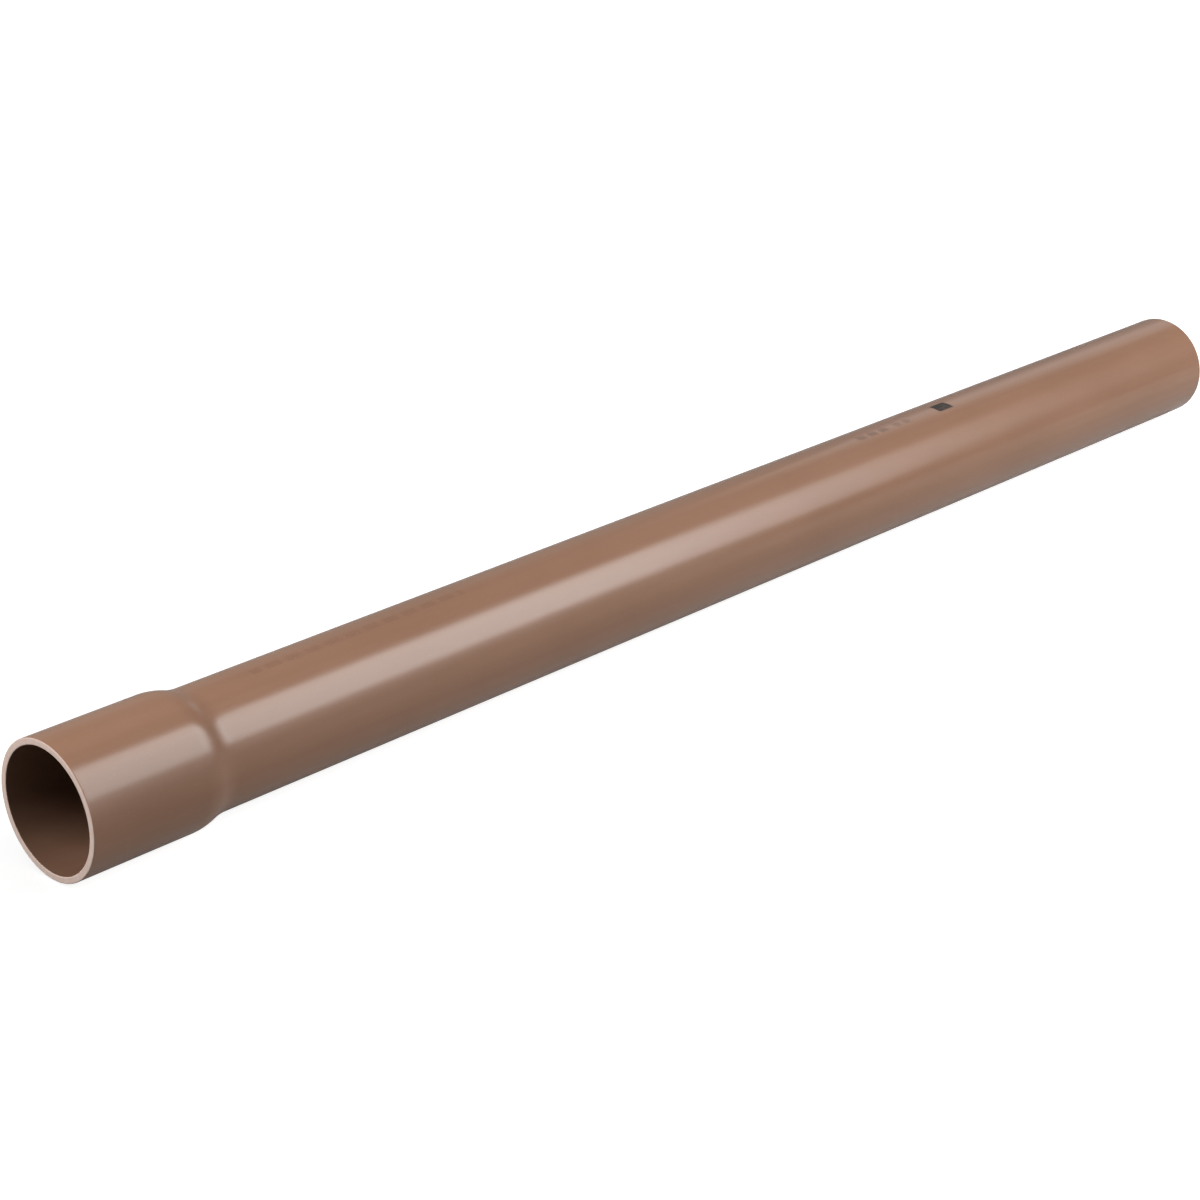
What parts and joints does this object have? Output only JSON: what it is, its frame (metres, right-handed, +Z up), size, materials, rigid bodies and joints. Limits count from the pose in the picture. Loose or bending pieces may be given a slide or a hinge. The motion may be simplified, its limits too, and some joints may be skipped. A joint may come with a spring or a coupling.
{
  "type": "pvc pipe",
  "caption": "Straight rigid plastic pipe, plain at one end and belled at the other into a socket that takes the plain end of the next length for a cemented joint.",
  "frame": {"origin": "on the floor, under the middle of the length", "axes": "+X along the pipe from the socket to the plain end, in plan; +Z up. The pipe lies on its bell and on its plain end, so its axis falls by a quarter of a degree towards +X"},
  "size_m": [0.7152, 0.0558, 0.056],
  "materials": {
    "brown_pvc": "satin"
  },
  "bodies": {
    "root": {"pipe": "brown_pvc"}
  },
  "joints": []
}
